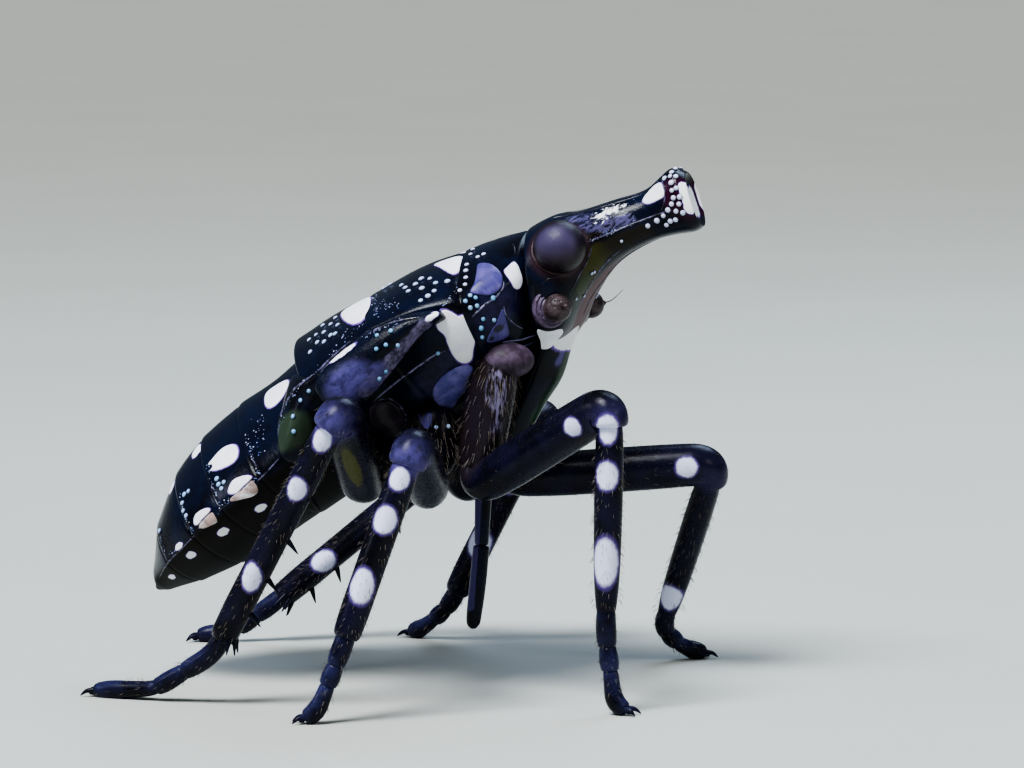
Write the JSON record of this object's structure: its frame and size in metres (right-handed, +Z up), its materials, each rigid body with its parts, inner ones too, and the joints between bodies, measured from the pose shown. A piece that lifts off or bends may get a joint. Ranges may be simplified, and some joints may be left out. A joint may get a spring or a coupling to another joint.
{
  "type": "spotted lanternfly nymph model",
  "caption": "Life-size still model of a black, white-spotted lanternfly nymph standing with its flared snout raised and its beak lowered.",
  "frame": {"origin": "middle of the insect's box on the floor plane, under the feet", "axes": "+X the way the insect faces, +Y to its left, +Z up; the body rises 38 degrees towards the head"},
  "size_m": [0.0082, 0.0076, 0.007],
  "materials": {
    "head": "glossy black cuticle with a blue cast, white waxy marks, pale granules and an olive-brown strip beside the face",
    "thorax": "glossy black cuticle with white waxy spots, pale blue granules and a lavender bloom on the side plates",
    "wing_pad": "glossy blue-black with a violet bloom and an olive, slightly clear hind lobe",
    "abdomen": "glossy black with white waxy spots in rows and small pale granules",
    "leg": "glossy black with round pale lilac-white spots, violet knees and fine short hairs",
    "mouthparts": "glossy black with a white band at the top of the face shield",
    "eye": "smooth satin plum-grey with very fine facets",
    "antenna": "brownish plum, ringed and finely pitted"
  },
  "bodies": {
    "root": {"abdomen_1": "abdomen", "abdomen_2": "abdomen", "abdomen_3": "abdomen", "abdomen_4": "abdomen", "abdomen_5": "abdomen", "antenna_left": "antenna", "antenna_right": "antenna", "beak_lower": "mouthparts", "beak_upper": "mouthparts", "clypeus": "mouthparts", "coxa_fore_left": "leg", "coxa_fore_right": "leg", "coxa_hind_left": "leg", "coxa_hind_right": "leg", "coxa_middle_left": "leg", "coxa_middle_right": "leg", "eye_left": "eye", "eye_right": "eye", "femur_fore_left": "leg", "femur_fore_right": "leg", "femur_hind_left": "leg", "femur_hind_right": "leg", "femur_middle_left": "leg", "femur_middle_right": "leg", "fore_wing_pad_left": "wing_pad", "fore_wing_pad_right": "wing_pad", "head": "head", "hind_wing_pad_left": "wing_pad", "hind_wing_pad_right": "wing_pad", "mesothorax": "thorax", "metathorax": "thorax", "prothorax": "thorax", "tarsus_fore_left": "leg", "tarsus_fore_right": "leg", "tarsus_hind_left": "leg", "tarsus_hind_right": "leg", "tarsus_middle_left": "leg", "tarsus_middle_right": "leg", "tibia_fore_left": "leg", "tibia_fore_right": "leg", "tibia_hind_left": "leg", "tibia_hind_right": "leg", "tibia_middle_left": "leg", "tibia_middle_right": "leg"}
  },
  "joints": []
}
